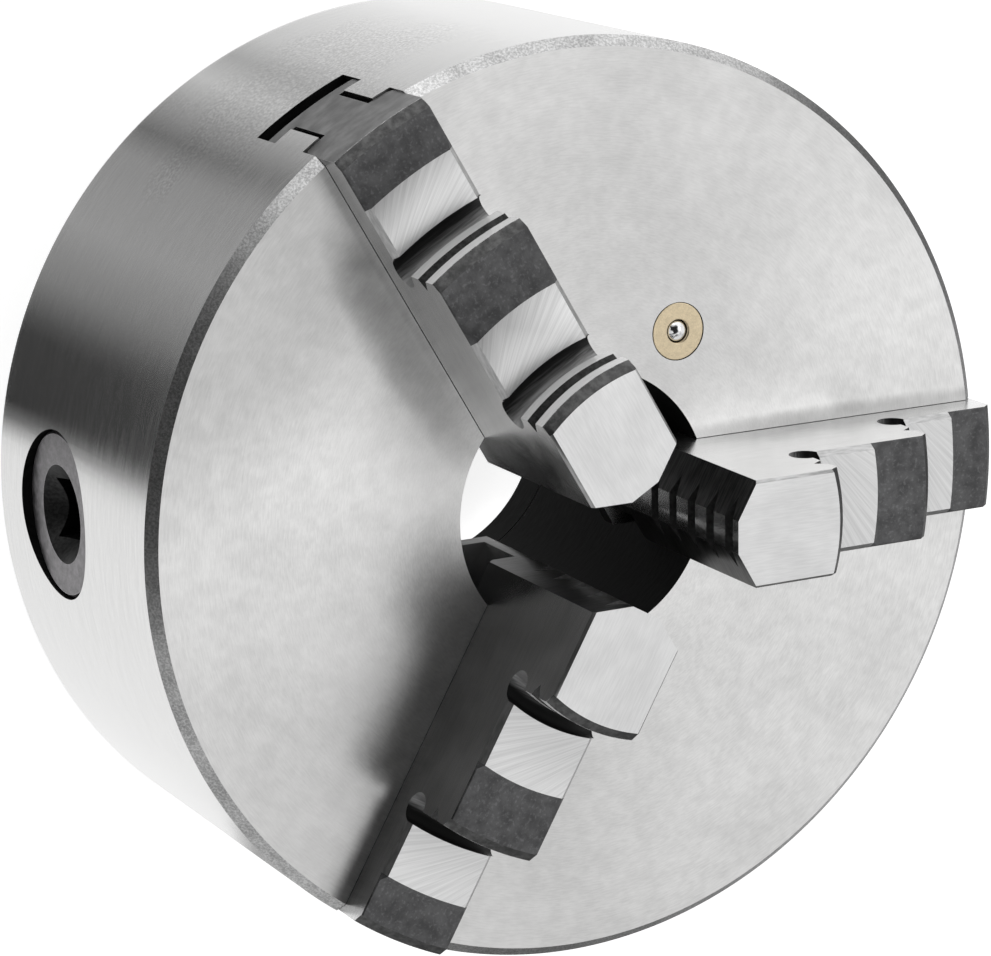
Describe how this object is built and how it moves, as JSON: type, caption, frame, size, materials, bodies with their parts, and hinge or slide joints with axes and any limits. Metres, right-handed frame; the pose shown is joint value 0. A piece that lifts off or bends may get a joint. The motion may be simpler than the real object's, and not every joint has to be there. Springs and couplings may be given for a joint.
{
  "type": "three-jaw scroll chuck",
  "caption": "Self-centring lathe chuck with stepped jaws driven together by a scroll plate and bevel pinions.",
  "frame": {"origin": "centre of the rear rim plane, on the spindle axis", "axes": "+Z along the spindle axis out of the front face; jaws at 30, 150 and 270 degrees from +X about +Z, key sockets at 90, 210 and 330 degrees"},
  "size_m": [0.2, 0.2, 0.1235],
  "materials": {
    "ground_steel": "fine ground and turned steel with a soft circular grain",
    "jaw_steel": "hardened steel, ground working faces and dark oxide on the outer half of each step",
    "pinion_steel": "dark oiled hardened steel",
    "gear_steel": "machined hardened steel",
    "black_screw": "black oxide",
    "oiler_brass": "turned pale brass",
    "bright_ball": "polished steel"
  },
  "bodies": {
    "chuck": {"chuck_body": "ground_steel", "back_cover": "ground_steel", "cover_screw_1": "black_screw", "cover_screw_2": "black_screw", "cover_screw_3": "black_screw", "cover_screw_4": "black_screw", "cover_screw_5": "black_screw", "cover_screw_6": "black_screw", "pinion_retaining_screw_1": "black_screw", "pinion_retaining_screw_2": "black_screw", "pinion_retaining_screw_3": "black_screw", "oiler_body": "oiler_brass", "oiler_spring": "bright_ball"},
    "scroll": {"scroll_plate": "gear_steel"},
    "jaw_1": {"jaw_1": "jaw_steel"},
    "jaw_2": {"jaw_2": "jaw_steel"},
    "jaw_3": {"jaw_3": "jaw_steel"},
    "pinion_1": {"pinion_1": "pinion_steel"},
    "pinion_2": {"pinion_2": "pinion_steel"},
    "pinion_3": {"pinion_3": "pinion_steel"},
    "oiler_ball": {"oiler_ball": "bright_ball"}
  },
  "joints": [
    {"name": "scroll_spin", "type": "hinge", "parent": "chuck", "child": "scroll", "pos_m": [0, 0, 0.05], "axis": [0, 0, 1], "range_deg": [-1260, 548]},
    {"name": "jaw_1_slide", "type": "slide", "parent": "chuck", "child": "jaw_1", "axis": [-0.866, 0.5, 0], "range_m": [-0.0122, 0.0281]},
    {"name": "jaw_2_slide", "type": "slide", "parent": "chuck", "child": "jaw_2", "axis": [0.866, 0.5, 0], "range_m": [-0.0122, 0.0281]},
    {"name": "jaw_3_slide", "type": "slide", "parent": "chuck", "child": "jaw_3", "axis": [0, -1, 0], "range_m": [-0.0122, 0.0281]},
    {"name": "pinion_1_spin", "type": "hinge", "parent": "chuck", "child": "pinion_1", "pos_m": [-0.07794, -0.045, 0.0325], "axis": [-0.866, -0.5, 0], "range_deg": [-3300, 7580]},
    {"name": "pinion_2_spin", "type": "hinge", "parent": "chuck", "child": "pinion_2", "pos_m": [0, 0.09, 0.0325], "axis": [0, 1, 0], "range_deg": [-3300, 7580]},
    {"name": "pinion_3_spin", "type": "hinge", "parent": "chuck", "child": "pinion_3", "pos_m": [0.07794, -0.045, 0.0325], "axis": [0.866, -0.5, 0], "range_deg": [-3300, 7580]},
    {"name": "oiler_ball_press", "type": "slide", "parent": "chuck", "child": "oiler_ball", "axis": [0, 0, -1], "range_m": [0, 0.0008], "stiffness_N_per_m": 250, "springref_m": -0.0006, "deforming": ["oiler_spring"]}
  ],
  "couplings": [
    {"joint": "jaw_1_slide", "follows": "scroll_spin", "m_per_rad": -0.0012732},
    {"joint": "jaw_2_slide", "follows": "scroll_spin", "m_per_rad": -0.0012732},
    {"joint": "jaw_3_slide", "follows": "scroll_spin", "m_per_rad": -0.0012732},
    {"joint": "pinion_1_spin", "follows": "scroll_spin", "ratio": -6},
    {"joint": "pinion_2_spin", "follows": "scroll_spin", "ratio": -6},
    {"joint": "pinion_3_spin", "follows": "scroll_spin", "ratio": -6}
  ]
}
